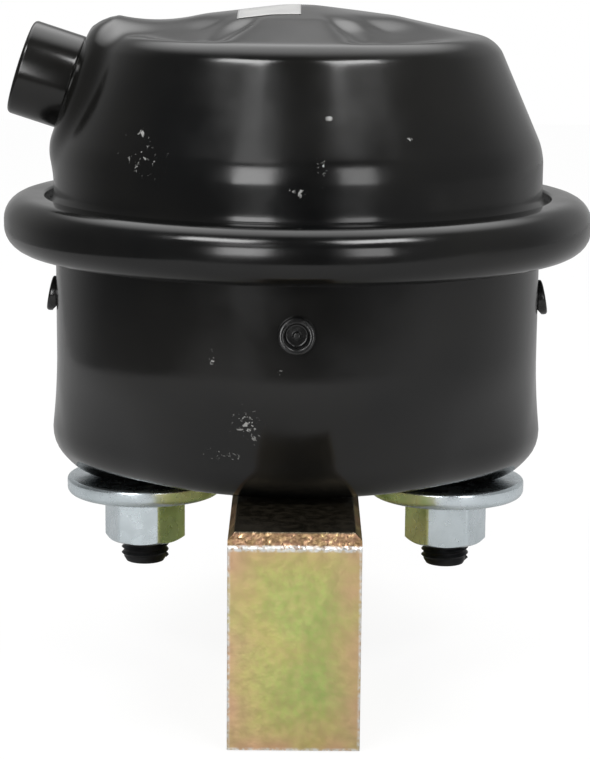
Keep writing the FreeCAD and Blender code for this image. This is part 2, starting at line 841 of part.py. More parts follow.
def make_vent_plug(name, turn):
    # A rubber plug in the wall, with a hooded lip that stands off the wall at its lower side
    plug = new_body(name)
    sketch = new_sketch(plug, f"{name}_lip_section", "XZ_Plane", "housing_radius")
    draw_circle(sketch, "0", VENT, "vent_radius")
    pad(plug, sketch, f"{name}_lip", "vent_lip_bottom")

    sketch = new_sketch(plug, f"{name}_stem_section", "XZ_Plane", "housing_radius")
    draw_circle(sketch, "0", VENT, "vent_stem")
    pad(plug, sketch, f"{name}_stem", "sheet + free_fit", back=True)

    sketch = new_sketch(plug, f"{name}_barb_section", "XZ_Plane", "housing_radius - sheet - free_fit")
    draw_circle(sketch, "0", VENT, "vent_barb")
    pad(plug, sketch, f"{name}_barb", "vent_barb_height", back=True)

    sketch = new_sketch(plug, f"{name}_slope_section", "YZ_Plane")
    draw_outline(
        sketch,
        [
            ("-housing_radius - vent_lip_top", f"{VENT} + vent_radius"),
            ("-housing_radius - vent_lip_bottom", f"{VENT} - vent_radius"),
            ("-housing_radius - 2 * vent_lip_bottom", f"{VENT} - vent_radius"),
            ("-housing_radius - 2 * vent_lip_bottom", f"{VENT} + 2 * vent_radius"),
            ("-housing_radius - vent_lip_top", f"{VENT} + 2 * vent_radius"),
        ],
    )
    pocket(plug, sketch, f"{name}_slope", "4 * vent_radius", symmetric=True)

    sketch = new_sketch(plug, f"{name}_notch_section", "YZ_Plane")
    draw_outline(
        sketch,
        [
            ("-housing_radius - vent_notch / 4", f"{VENT} - vent_radius - vent_notch"),
            ("-housing_radius - vent_notch / 2", f"{VENT} - vent_radius + vent_notch"),
            ("-housing_radius - vent_notch", f"{VENT} - vent_radius - vent_notch"),
        ],
    )
    pocket(plug, sketch, f"{name}_notch", "4 * vent_radius", symmetric=True)

    sketch = new_sketch(plug, f"{name}_mouth_section", "XZ_Plane", "housing_radius + vent_web")
    draw_circle(sketch, "0", VENT, "vent_mouth")
    draw_circle(sketch, "0", VENT, "vent_core")
    pocket(plug, sketch, f"{name}_mouth", "2 * vent_lip_bottom", back=True)
    plug.Placement = Placement(Vector(0, 0, 0), Rotation(Vector(0, 0, 1), turn))


make_pressure_cover()
make_port_boss()
make_label()
make_clamp_ring()
make_diaphragm()
make_push_plate()
make_push_rod()
make_return_spring()
make_spring_seat()
make_rod_guide()
make_yoke_bar()
make_cross_pin("rod_pin", "rod_pin_radius", "bar_height - rod_pin_drop")
make_cross_pin("lever_pin", "lever_pin_radius", "lever_pin_height")
make_lock_screw()
make_lower_housing()
for side_name, side_sign, nut_turn in (("left", -1, -7), ("right", 1, 0)):
    make_stud(f"stud_{side_name}", side_sign)
    make_washer(f"washer_{side_name}", side_sign)
    make_nut(f"nut_{side_name}", side_sign, nut_turn)
for vent_name, vent_turn in (("front", 0), ("right", 90), ("back", 180), ("left", 270)):
    make_vent_plug(f"vent_plug_{vent_name}", vent_turn)

doc.recompute()
faults = [o.Name for o in doc.Objects if "Invalid" in o.State or "Error" in o.State]
for node in nodes:
    if node.Shape.isNull() or not node.Shape.isValid() or node.Shape.Volume <= 0:
        faults.append(node.Label)
if faults:
    raise RuntimeError(f"not built: {faults}")

os.makedirs("parts", exist_ok=True)
for node in nodes:
    node.Shape.exportStep(f"parts/{node.Label}.step")
    print(node.Label, round(node.Shape.Volume, 1), len(node.Shape.Solids))
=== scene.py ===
import json
import math
import random

import bmesh
import bpy
from mathutils import Matrix, Vector, noise
from mathutils.bvhtree import BVHTree


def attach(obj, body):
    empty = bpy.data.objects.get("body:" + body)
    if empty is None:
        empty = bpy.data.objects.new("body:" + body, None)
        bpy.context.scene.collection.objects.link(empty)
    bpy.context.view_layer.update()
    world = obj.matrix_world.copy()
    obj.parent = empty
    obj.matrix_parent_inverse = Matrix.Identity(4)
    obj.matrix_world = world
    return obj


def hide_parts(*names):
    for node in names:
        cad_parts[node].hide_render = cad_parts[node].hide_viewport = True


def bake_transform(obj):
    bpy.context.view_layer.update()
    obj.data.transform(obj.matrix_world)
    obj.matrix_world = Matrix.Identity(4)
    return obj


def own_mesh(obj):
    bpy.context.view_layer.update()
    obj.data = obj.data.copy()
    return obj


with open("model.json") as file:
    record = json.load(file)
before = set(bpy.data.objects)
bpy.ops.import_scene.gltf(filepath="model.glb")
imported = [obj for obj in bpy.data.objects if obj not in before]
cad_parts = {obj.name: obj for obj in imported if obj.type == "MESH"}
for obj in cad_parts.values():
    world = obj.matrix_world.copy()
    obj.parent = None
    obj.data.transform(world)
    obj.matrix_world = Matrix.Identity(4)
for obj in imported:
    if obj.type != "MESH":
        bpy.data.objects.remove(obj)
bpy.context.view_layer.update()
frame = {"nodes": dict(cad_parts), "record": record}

nodes = frame["nodes"]
mm = 0.001

# Camera, floor and light

cameraSetup = {
    "place": (0, -0.620, 0.1872),
    "pitch": 11.98,
    "roll": 0.5,
    "lens": 153.4,
    "shift": (-0.0015, 0.0953),
}

camera = bpy.data.objects.new("photoCamera", bpy.data.cameras.new("photoCamera"))
bpy.context.scene.collection.objects.link(camera)
camera.data.sensor_fit = "HORIZONTAL"
camera.data.sensor_width = 36
camera.data.lens = cameraSetup["lens"]
camera.data.shift_x, camera.data.shift_y = cameraSetup["shift"]
camera.data.clip_start = 0.01
camera.matrix_world = (
    Matrix.Translation(cameraSetup["place"])
    @ Matrix.Rotation(math.radians(90 - cameraSetup["pitch"]), 4, "X")
    @ Matrix.Rotation(math.radians(cameraSetup["roll"]), 4, "Z")
)
bpy.context.scene.camera = camera
bpy.context.scene.view_settings.view_transform = "Standard"
print("camera ready")


def addNode(tree, kind, **settings):
    node = tree.nodes.new(kind)
    for key, value in settings.items():
        setattr(node, key, value)
    node.location = (220 * (len(tree.nodes) % 9), -180 * (len(tree.nodes) // 9))
    return node


def feed(tree, value, socket):
    # A socket gets a link, or a plain number or colour
    if isinstance(value, bpy.types.NodeSocket):
        tree.links.new(value, socket)
    elif isinstance(value, tuple) and len(socket.default_value) == 4:
        socket.default_value = (*value, 1)
    else:
        socket.default_value = value


def addMath(tree, operation, first, second, clamp=False):
    node = addNode(tree, "ShaderNodeMath", operation=operation, use_clamp=clamp)
    feed(tree, first, node.inputs[0])
    feed(tree, second, node.inputs[1])
    return node.outputs[0]


def addVectorMath(tree, operation, first, second=None, output=0):
    node = addNode(tree, "ShaderNodeVectorMath", operation=operation)
    feed(tree, first, node.inputs[0])
    if second is not None:
        feed(tree, second, node.inputs[1])
    return node.outputs[output]


def addRamp(tree, value, low, high, toLow=0.0, toHigh=1.0, curve="LINEAR"):
    ramp = addNode(tree, "ShaderNodeMapRange", interpolation_type=curve)
    values = {"Value": value, "From Min": low, "From Max": high, "To Min": toLow, "To Max": toHigh}
    for label, amount in values.items():
        feed(tree, amount, ramp.inputs[label])
    return ramp.outputs[0]


def splitAxes(tree, vector):
    split = addNode(tree, "ShaderNodeSeparateXYZ")
    feed(tree, vector, split.inputs[0])
    return split.outputs


def mixShaders(tree, share, first, second):
    mix = addNode(tree, "ShaderNodeMixShader")
    for socket, value in zip(mix.inputs, (share, first.outputs[0], second.outputs[0])):
        feed(tree, value, socket)
    return mix.outputs[0]


studio = {
    "soft": [  # azimuth, elevation, distance, width, height, power
        (-39, 52, 1.2, 0.50, 0.26, 6.0),
        (39, 52, 1.2, 0.50, 0.26, 6.0),
        (-20, 11, 1.3, 0.42, 0.60, 6.5),
        (27, 11, 1.3, 0.36, 0.60, 3.2),
        (-22, 36, 1.3, 0.40, 0.24, 0.7),
    ],
    "aim": (0, 0, 0.10),
    "front": 0.06,  # what the room reflects from each side
    "right": 0.26,
    "left": 0.10,
    "back": 0.26,
    "sideSpread": (0.1, 0.9),
    "glow": 2.8,  # a soft light behind and above
    "glowAim": (0, 0.43, 0.903),
    "glowSpread": (0.76, 0.98),
    "mirrored": 0.25,  # how much of the white background gloss shows
    "mirrorSpread": (0.85, 1.0),
    "floorHalf": (0.65, 1.0),
    "floorMiddle": (0.3, 0.58, 0),
    "floorDrop": 0.0003,
    "floorShade": 0.42,  # the floor's grey as the part reflects it
    "floorTone": 0.95,  # and as the camera sees it
    "floorGlow": 0.9,
}


def makeLamps(setup):
    aim = Vector(setup["aim"])
    for index, (azimuth, elevation, distance, width, height, power) in enumerate(setup["soft"]):
        lamp = bpy.data.lights.new(f"softBox{index}", "AREA")
        lamp.shape = "RECTANGLE"
        lamp.size, lamp.size_y, lamp.energy = width, height, power
        turn, rise = math.radians(azimuth), math.radians(elevation)
        away = Vector((math.sin(turn) * math.cos(rise), -math.cos(turn) * math.cos(rise), math.sin(rise)))
        holder = bpy.data.objects.new(lamp.name, lamp)
        holder.location = aim + away * distance
        holder.rotation_euler = away.to_track_quat("Z", "Y").to_euler()
        bpy.context.scene.collection.objects.link(holder)


def makeRoom(setup):
    # The room is light behind the part, dark behind the camera and grey at the sides
    world = bpy.data.worlds.new("studioRoom")
    bpy.context.scene.world = world
    world.use_nodes = True
    tree = world.node_tree
    tree.nodes.clear()
    coords = addNode(tree, "ShaderNodeTexCoord").outputs["Generated"]
    axes = splitAxes(tree, coords)
    near, far = setup["sideSpread"]
    level = setup["front"]
    for axis, end, side in (("X", 1, "right"), ("X", -1, "left"), ("Y", 1, "back")):
        light = addRamp(tree, axes[axis], near * end, far * end, 0, setup[side], "SMOOTHSTEP")
        level = addMath(tree, "ADD", light, level)
    facing = addVectorMath(tree, "DOT_PRODUCT", coords, setup["glowAim"], "Value")
    above = addRamp(tree, facing, *setup["glowSpread"], 0, setup["glow"], "SMOOTHSTEP")
    room = addNode(tree, "ShaderNodeBackground")
    feed(tree, addMath(tree, "ADD", level, above), room.inputs["Color"])

    # The camera sees plain white, and gloss shows some of it
    white = addNode(tree, "ShaderNodeBackground")
    feed(tree, (1, 1, 1), white.inputs["Color"])
    rays = addNode(tree, "ShaderNodeLightPath").outputs
    mirrored = addMath(tree, "MAXIMUM", rays["Is Glossy Ray"], rays["Is Transmission Ray"])
    behind = addRamp(tree, axes["Y"], *setup["mirrorSpread"], 0, setup["mirrored"], "SMOOTHSTEP")
    shown = addMath(tree, "MULTIPLY", mirrored, behind)
    share = addMath(tree, "MAXIMUM", rays["Is Camera Ray"], shown)
    out = addNode(tree, "ShaderNodeOutputWorld")
    feed(tree, mixShaders(tree, share, room, white), out.inputs["Surface"])


def makeFloor(setup):
    bm = bmesh.new()
    bmesh.ops.create_grid(bm, x_segments=1, y_segments=1, size=1)
    bmesh.ops.scale(bm, vec=(*setup["floorHalf"], 1), verts=bm.verts[:])
    bmesh.ops.translate(bm, vec=setup["floorMiddle"], verts=bm.verts[:])
    mesh = bpy.data.meshes.new("studioFloor")
    bm.to_mesh(mesh)
    bm.free()
    floor = bpy.data.objects.new("studioFloor", mesh)
    floor.location = (0, 0, -setup["floorDrop"])
    bpy.context.scene.collection.objects.link(floor)

    material = bpy.data.materials.new("paleFloor")
    material.use_nodes = True
    tree = material.node_tree
    tree.nodes.clear()
    seen = addNode(tree, "ShaderNodeLightPath").outputs["Is Camera Ray"]
    paint = addNode(tree, "ShaderNodeBsdfDiffuse")
    feed(tree, addRamp(tree, seen, 0, 1, setup["floorShade"], setup["floorTone"]), paint.inputs["Color"])
    glow = addNode(tree, "ShaderNodeEmission")
    share = addMath(tree, "MULTIPLY", seen, setup["floorGlow"])
    out = addNode(tree, "ShaderNodeOutputMaterial")
    feed(tree, mixShaders(tree, share, paint, glow), out.inputs["Surface"])
    floor.data.materials.append(material)


makeLamps(studio)
makeRoom(studio)
makeFloor(studio)
print("studio ready")

# Effects that several finishes share


def newGroup(name, output, inputs):
    group = bpy.data.node_groups.new(name, "ShaderNodeTree")
    for label, value in inputs.items():
        kind = "NodeSocketVector" if isinstance(value, tuple) else "NodeSocketFloat"
        socket = group.interface.new_socket(name=label, in_out="INPUT", socket_type=kind)
        socket.default_value = value
    group.interface.new_socket(name=output, in_out="OUTPUT", socket_type="NodeSocketFloat")
    start = addNode(group, "NodeGroupInput").outputs
    end = addNode(group, "NodeGroupOutput").inputs[output]
    return group, start, end


cloudSetup = {"contrast": (0.3, 0.7)}


def makeCloudGroup(setup):
    # Soft cloudy variation between two values
    group, start, end = newGroup("cloudVariation", "Value", {
        "Vector": (0, 0, 0), "Scale": 40.0, "Detail": 3.0, "Low": 0.0, "High": 1.0,
    })
    cloud = addNode(group, "ShaderNodeTexNoise")
    for label in ("Vector", "Scale", "Detail"):
        feed(group, start[label], cloud.inputs[label])
    low, high = setup["contrast"]
    feed(group, addRamp(group, cloud.outputs["Fac"], low, high, start["Low"], start["High"], "SMOOTHSTEP"), end)
    return group


chipSetup = {
    "fade": (1.0, 0.2),  # from the region's rim to its full share
    "detail": 4,
    "roughness": 0.62,
    "distortion": 0.6,
    "lift": 0.20,
    "tear": (0.70, 0.735),
}


def makeChipGroup(setup):
    # Torn flakes inside an oval region, for chipped paint
    group, start, end = newGroup("chipCluster", "Mask", {
        "Vector": (0, 0, 0), "Centre": (0, 0, 0), "Radii": (0.01, 0.01, 0.01), "Grain": 900.0, "Amount": 0.4,
    })
    away = addVectorMath(group, "SUBTRACT", start["Vector"], start["Centre"])
    scaled = addVectorMath(group, "DIVIDE", away, start["Radii"])
    reach = addVectorMath(group, "LENGTH", scaled, output="Value")
    inside = addRamp(group, reach, *setup["fade"])
    flakes = addNode(group, "ShaderNodeTexNoise")
    values = {
        "Vector": start["Vector"], "Scale": start["Grain"], "Detail": setup["detail"],
        "Roughness": setup["roughness"], "Distortion": setup["distortion"],
    }
    for label, value in values.items():
        feed(group, value, flakes.inputs[label])
    odds = addMath(group, "MULTIPLY", inside, start["Amount"])
    raised = addMath(group, "ADD", addMath(group, "MULTIPLY", odds, setup["lift"]), flakes.outputs["Fac"])
    torn = addRamp(group, raised, *setup["tear"])
    feed(group, addMath(group, "MULTIPLY", torn, inside), end)
    return group


def makeEdgeGroup():
    # A band along the edges of an upright box, by the middle one of the three distances to its faces
    group, start, end = newGroup("boxEdgeBand", "Mask", {
        "Vector": (0, 0, 0), "Centre": (0, 0, 0), "Half Size": (0.01, 0.01, 0.01), "Width": 0.002,
    })
    away = addVectorMath(group, "ABSOLUTE", addVectorMath(group, "SUBTRACT", start["Vector"], start["Centre"]))
    depths = splitAxes(group, addVectorMath(group, "SUBTRACT", away, start["Half Size"]))

    def combine(operation):
        return addMath(group, operation, addMath(group, operation, depths[0], depths[1]), depths[2])

    ends = addMath(group, "ADD", combine("MAXIMUM"), combine("MINIMUM"))
    middle = addMath(group, "SUBTRACT", combine("ADD"), ends)
    feed(group, addRamp(group, middle, addMath(group, "MULTIPLY", start["Width"], -1), 0), end)
    return group


cloudGroup = makeCloudGroup(cloudSetup)
chipGroup = makeChipGroup(chipSetup)
edgeGroup = makeEdgeGroup()


def newFinish(name, metallic=0.0):
    material = bpy.data.materials.new(name)
    material.use_nodes = True
    tree = material.node_tree
    shader = tree.nodes["Principled BSDF"].inputs
    feed(tree, metallic, shader["Metallic"])
    coords = addNode(tree, "ShaderNodeTexCoord").outputs["Object"]
    return material, tree, shader, coords


def placeGroup(tree, group, coords, **values):
    node = addNode(tree, "ShaderNodeGroup", node_tree=group)
    feed(tree, coords, node.inputs["Vector"])
    for key, value in values.items():
        node.inputs[key.replace("_", " ")].default_value = value
    return node.outputs[0]


def mixTones(tree, share, first, second, kind="RGBA"):
    mix = addNode(tree, "ShaderNodeMix", data_type=kind)
    low = {"FLOAT": 2, "RGBA": 6}[kind]  # where the node keeps that kind's two sockets
    for place, value in ((0, share), (low, first), (low + 1, second)):
        feed(tree, value, mix.inputs[place])
    return mix.outputs[0 if kind == "FLOAT" else 2]


def addBump(tree, shader, height, depth, strength):
    bump = addNode(tree, "ShaderNodeBump")
    values = {"Height": height, "Distance": depth, "Strength": strength}
    for label, value in values.items():
        feed(tree, value, bump.inputs[label])
    feed(tree, bump.outputs[0], shader["Normal"])


# Finishes

blackPaint = {
    "deep": (0.0018, 0.0020, 0.0022),
    "dusty": (0.0060, 0.0058, 0.0052),
    "dustScale": 22,
    "gloss": (0.13, 0.21),
    "hazeScale": 60,
    "shine": 0.42,
    "peel": (420, 0.00002, 0.10),  # orange peel: scale, depth, strength
    "chip": (0.30, 0.30, 0.29),
    "chipGloss": 0.7,
    "chips": [  # centre and radii in metres, grains per metre, share
        ((-0.0110, -0.0586, 0.0700), (0.0055, 0.01, 0.0075), 900, 0.75),
        ((-0.0185, -0.0568, 0.0620), (0.0090, 0.01, 0.0026), 1100, 0.80),
        ((-0.0190, -0.0567, 0.0850), (0.0016, 0.01, 0.0034), 900, 0.75),
        ((-0.0030, -0.0597, 0.0830), (0.0020, 0.01, 0.0016), 900, 0.75),
        ((-0.0350, -0.0420, 0.1300), (0.0080, 0.02, 0.0080), 800, 0.50),
        ((-0.0355, -0.0400, 0.1355), (0.0020, 0.02, 0.0022), 700, 1.00),
        ((0.0000, -0.0560, 0.1240), (0.0040, 0.02, 0.0022), 800, 0.85),
        ((0.0055, -0.0560, 0.1290), (0.0020, 0.02, 0.0050), 700, 0.80),
        ((0.0070, -0.0510, 0.1400), (0.0012, 0.02, 0.0014), 400, 1.70),
        ((0.0250, -0.0450, 0.1350), (0.0010, 0.02, 0.0010), 500, 1.50),
    ],
}


def addHaze(tree, coords, scale, detail, gloss):
    return placeGroup(tree, cloudGroup, coords, Scale=scale, Detail=detail, Low=gloss[0], High=gloss[1])


def makeBlackPaint(setup):
    material, tree, shader, coords = newFinish("blackPaint")
    feed(tree, setup["shine"], shader["Specular IOR Level"])
    chips = 0.0
    for centre, radii, grain, amount in setup["chips"]:
        patch = placeGroup(tree, chipGroup, coords, Centre=centre, Radii=radii, Grain=grain, Amount=amount)
        chips = addMath(tree, "MAXIMUM", chips, patch)
    dust = placeGroup(tree, cloudGroup, coords, Scale=setup["dustScale"], Detail=4)
    coat = mixTones(tree, dust, setup["deep"], setup["dusty"])
    feed(tree, mixTones(tree, chips, coat, setup["chip"]), shader["Base Color"])
    haze = addHaze(tree, coords, setup["hazeScale"], 5, setup["gloss"])
    feed(tree, mixTones(tree, chips, haze, setup["chipGloss"], "FLOAT"), shader["Roughness"])
    scale, depth, strength = setup["peel"]
    addBump(tree, shader, placeGroup(tree, cloudGroup, coords, Scale=scale, Detail=2), depth, strength)
    return material


clearZinc = {
    "bright": (0.73, 0.80, 0.84),
    "dull": (0.63, 0.70, 0.73),
    "spangle": 130,
    "gloss": (0.20, 0.32),
    "hazeScale": 300,
    "grain": (1500, 0.00001, 0.2),
}


def makeClearZinc(setup):
    material, tree, shader, coords = newFinish("clearZinc", 1.0)
    spangle = placeGroup(tree, cloudGroup, coords, Scale=setup["spangle"], Detail=4)
    feed(tree, mixTones(tree, spangle, setup["bright"], setup["dull"]), shader["Base Color"])
    feed(tree, addHaze(tree, coords, setup["hazeScale"], 3, setup["gloss"]), shader["Roughness"])
    scale, depth, strength = setup["grain"]
    addBump(tree, shader, placeGroup(tree, cloudGroup, coords, Scale=scale, Detail=2), depth, strength)
    return material


yellowZinc = {
    "yellow": (0.62, 0.54, 0.20),
    "green": (0.44, 0.55, 0.17),
    "rose": (0.66, 0.43, 0.26),
    "bare": (0.80, 0.80, 0.78),
    "shadeOnTop": (0.10, 0.085, 0.06),  # the top face, darkened as painted shade and painted reflection of the dark housing above it
    "gold": (0.34, 0.23, 0.12),  # the sawn chamfers
    "rust": (0.11, 0.065, 0.03),
    "pink": (0.36, 0.20, 0.14),
    "block": {"Centre": (0, 0, 0.025), "Half_Size": (0.015, 0.080, 0.025)},
    "roseBand": 0.0085,
    "bareBand": 0.0008,
    "sawnStart": (0.12665, 0.12685),  # how far out and up, in metres, the chamfers lie
    "burrStart": (0.1260, 0.1266),
    "burrTop": (0.0476, 0.0472),
    "topShadeReach": (0.0496, 0.0499),
    "gloss": (0.30, 0.45),
    "hazeScale": 400,
    "grain": (900, 0.00002, 0.7),
}


def makeYellowZinc(setup):
    material, tree, shader, coords = newFinish("yellowZinc", 1.0)

    def cloud(scale, detail, low=0.0, high=1.0):
        return placeGroup(tree, cloudGroup, coords, Scale=scale, Detail=detail, Low=low, High=high)

    def band(width):
        return placeGroup(tree, edgeGroup, coords, Width=width, **setup["block"])

    def both(first, second):
        return addMath(tree, "MULTIPLY", first, second, clamp=True)

    # Yellow and green patches, rose towards the edges in an uneven band
    film = mixTones(tree, cloud(58, 1.5), setup["yellow"], setup["green"])
    film = mixTones(tree, cloud(700, 4, 0.0, 0.28), film, setup["rose"])
    film = mixTones(tree, both(band(setup["roseBand"]), cloud(75, 2, 0.35, 1.25)), film, setup["rose"])

    # Bare metal on the worn edges
    worn = cloud(900, 3, 0.1, 1.6)
    film = mixTones(tree, both(band(setup["bareBand"]), worn), film, setup["bare"])

    # The sawn chamfers are coarse and gold, with bare burrs along their lower edge, and the top face is
    # darkened with painted shade
    axes = splitAxes(tree, coords)
    slant = addMath(tree, "ADD", addMath(tree, "ABSOLUTE", axes["Y"], 0.0), axes["Z"])
    sawn = mixTones(tree, cloud(1300, 4), setup["gold"], setup["rust"])
    sawn = mixTones(tree, cloud(500, 2, 0.0, 0.6), sawn, setup["pink"])
    film = mixTones(tree, addRamp(tree, slant, *setup["sawnStart"]), film, sawn)
    burr = both(addRamp(tree, slant, *setup["burrStart"]), addRamp(tree, axes["Z"], *setup["burrTop"]))
    film = mixTones(tree, both(burr, worn), film, setup["bare"])
    # Painted shade and reflection: the top face is darkened where the dark housing above shades it and shows in
    # it
    film = mixTones(tree, addRamp(tree, axes["Z"], *setup["topShadeReach"]), film, setup["shadeOnTop"])
    feed(tree, film, shader["Base Color"])

    feed(tree, addHaze(tree, coords, setup["hazeScale"], 4, setup["gloss"]), shader["Roughness"])
    scale, depth, strength = setup["grain"]
    addBump(tree, shader, cloud(scale, 4), depth, strength)
    return material


plainFinishes = {  # light tone, dark tone, metallic, gloss range, grain scale
    "darkSteel": ((0.045, 0.045, 0.047), (0.018, 0.018, 0.020), 0.9, (0.35, 0.55), 700),
    "springSteel": ((0.22, 0.21, 0.20), (0.10, 0.095, 0.09), 1.0, (0.30, 0.50), 500),
    "blackRubber": ((0.012, 0.012, 0.012), (0.006, 0.006, 0.006), 0.0, (0.16, 0.30), 900),
    "guidePlastic": ((0.55, 0.54, 0.48), (0.42, 0.41, 0.36), 0.0, (0.35, 0.5), 400),
    "foil": ((0.44, 0.44, 0.43), (0.36, 0.36, 0.36), 0.2, (0.35, 0.5), 350),
}
plainBump = (0.00002, 0.6)  # depth and strength of the grain in all of them


def makePlainFinish(name, light, dark, metallic, gloss, scale):
    material, tree, shader, coords = newFinish(name, metallic)
    cloud = placeGroup(tree, cloudGroup, coords, Scale=scale / 5, Detail=4)
    feed(tree, mixTones(tree, cloud, light, dark), shader["Base Color"])
    feed(tree, addHaze(tree, coords, scale / 2, 3, gloss), shader["Roughness"])
    addBump(tree, shader, placeGroup(tree, cloudGroup, coords, Scale=scale, Detail=3), *plainBump)
    return material


labelShape = {
    "width": 15.2,
    "length": 16.0,
    "middle": (-7.25, -9.0, 150),
    "cuts": 30,
    "lift": 0.18,
    "thickness": 0.12,
    "line": (1.6, 0.8),  # a faint line lies between these distances from the edge
    "halfDepth": 1,
}


def makeFoil(setup, light, dark, *others):
    # A blank foil with a faint line round it
    material = makePlainFinish("foil", light, dark, *others)
    tree = material.node_tree
    base = tree.nodes["Principled BSDF"].inputs["Base Color"]
    coords = addNode(tree, "ShaderNodeTexCoord").outputs["Object"]
    middle = Vector(setup["middle"]) * mm
    half = Vector((setup["width"] / 2, setup["length"] / 2, setup["halfDepth"])) * mm
    bands = [
        placeGroup(tree, edgeGroup, coords, Centre=middle, Half_Size=half, Width=width * mm)
        for width in setup["line"]
    ]
    line = addMath(tree, "SUBTRACT", *bands, clamp=True)
    feed(tree, mixTones(tree, line, base.links[0].from_socket, dark), base)
    return material


finishes = {
    "black_paint": makeBlackPaint(blackPaint),
    "clear_zinc": makeClearZinc(clearZinc),
    "yellow_zinc": makeYellowZinc(yellowZinc),
    "dark_steel": makePlainFinish("darkSteel", *plainFinishes["darkSteel"]),
    "spring_steel": makePlainFinish("springSteel", *plainFinishes["springSteel"]),
    "black_rubber": makePlainFinish("blackRubber", *plainFinishes["blackRubber"]),
    "guide_plastic": makePlainFinish("guidePlastic", *plainFinishes["guidePlastic"]),
    "foil": makeFoil(labelShape, *plainFinishes["foil"]),
}
print("finishes ready")

for part in frame["record"]["subparts"]:
    holder = nodes[part["node"]]
    holder.data.materials.clear()
    holder.data.materials.append(finishes[part["material_slot"]])
print("carried parts dressed")

# Shaping tools, all in millimetres until a piece is finished


def drawOutline(corners, closed=True):
    # Corners are (radius, height) or (radius, height, rounding) in the XZ plane
    bm = bmesh.new()
    spots = [Vector((corner[0], 0, corner[1])) for corner in corners]
    verts = [bm.verts.new(spot) for spot in spots]
    count = len(verts)
    for index in range(count if closed else count - 1):
        bm.edges.new((verts[index], verts[(index + 1) % count]))
    for index, corner in enumerate(corners):
        if len(corner) < 3:
            continue
        before = spots[index - 1] - spots[index]
        after = spots[(index + 1) % count] - spots[index]
        offset = corner[2] / math.tan(before.angle(after) / 2)
        bmesh.ops.bevel(
            bm, geom=[verts[index]], offset=offset, offset_type="OFFSET", segments=8,
            profile=0.5, affect="VERTICES", material=-1,
        )
    return bm


def splitLong(bm, longest):
    # Cuts long edges, so that the turned surface is an even grid
    for edge in bm.edges[:]:
        cuts = int(edge.calc_length() / longest)
        if cuts:
            bmesh.ops.subdivide_edges(bm, edges=[edge], cuts=cuts)


def turnOutline(bm, steps):
    bmesh.ops.spin(
        bm, geom=bm.verts[:] + bm.edges[:], cent=(0, 0, 0), axis=(0, 0, 1), dvec=(0, 0, 0),
        angle=2 * math.pi, steps=steps, use_merge=True,
    )
    bmesh.ops.remove_doubles(bm, verts=bm.verts[:], dist=1e-4)
    bmesh.ops.recalc_face_normals(bm, faces=bm.faces[:])


def finishPiece(bm, name, body, slotName, replaced=(), sharp=35, place=None):
    if place is not None:
        bmesh.ops.transform(bm, matrix=place, verts=bm.verts[:])
    bmesh.ops.scale(bm, vec=(mm, mm, mm), verts=bm.verts[:])
    mesh = bpy.data.meshes.new(name)
    bm.to_mesh(mesh)
    bm.free()
    mesh.shade_smooth()
    mesh.set_sharp_from_angle(angle=math.radians(sharp))
    piece = bpy.data.objects.new(name, mesh)
    bpy.context.scene.collection.objects.link(piece)
    mesh.materials.append(finishes[slotName])
    if body:
        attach(piece, body)
    if replaced:
        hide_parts(*replaced)
    return piece


def addModifier(piece, kind, **settings):
    modifier = piece.modifiers.new(kind.lower(), kind)
    for key, value in settings.items():
        setattr(modifier, key, value)
    return modifier


def smoothStep(low, high, value):
    share = min(max((value - low) / (high - low), 0), 1)
    return share * share * (3 - 2 * share)


# Pressure cover, with valleys pressed into its crown and a round pad under the port

coverShape = {
    "outline": [
        (66.3, 114.8),
        (60.1, 114.8, 3.2),
        (60.1, 128.3, 14),
        (48.2, 155.0, 7),
        (23.5, 160.4, 30),
        (4, 162.8),
        (0, 162.8),
    ],
    "wall": 2.5,
    "steps": 160,
    "grid": 1.9,
    "turn": -4,  # the ribs' turn from the front
    "ribEdge": 17,
    "ribFoot": 25,
    "crease": (22.0, 50),
    "ridgeShare": 0.45,  # the ridge's place between the rib's foot and the crease
    "sideRib": 78,
    "depths": (1.7, 1.25, 2.1),
    "inner": (17, 30),
    "outer": (40, 44),
    "pressFrom": 140,
    "smoothFrom": 153,
    "padRadius": 19,
    "padRound": 5,
    "padBlend": 6,
    "padFrom": (118, -15),  # only points above and left of this can belong to the pad
}
portPlace = {"x": -54.85, "z": 143.3, "tilt": 17.7}


def portAxis():
    tilt = math.radians(portPlace["tilt"])
    return Vector((-math.cos(tilt), 0, math.sin(tilt))), Vector((portPlace["x"], 0, portPlace["z"]))


def softMax(a, b, blend):
    share = min(max(0.5 + 0.5 * (a - b) / blend, 0), 1)
    return b + (a - b) * share + blend * share * (1 - share)


def followField(verts, distance, blend, step=0.01, close=0.003, rounds=8):
    # Moves a sheet's points out to a smooth union of the sheet and a pad
    for vert in verts:
        start, normal = vert.co.copy(), vert.normal.copy()

        def away(spot):
            return -softMax((start - spot).dot(normal), -distance(spot), blend)

        spot = start.copy()
        for _ in range(rounds):
            field = away(spot)
            if abs(field) < close:
                break
            slope = Vector([
                away(spot + axis * step) - field
                for axis in (Vector((1, 0, 0)), Vector((0, 1, 0)), Vector((0, 0, 1)))
            ]) / step
            spot -= slope * (field / max(slope.length_squared, 0.25))
        vert.co = spot


def padDistance(spot, setup):
    # Signed distance to a rounded disc on the port's axis
    aim, foot = portAxis()
    away = spot - foot
    along = away.dot(aim)
    radius = (away - aim * along).length
    sideways = radius - setup["padRadius"] + setup["padRound"]
    forward = along + setup["padRound"]
    corner = math.hypot(max(sideways, 0), max(forward, 0))
    return corner + min(max(sideways, forward), 0) - setup["padRound"]


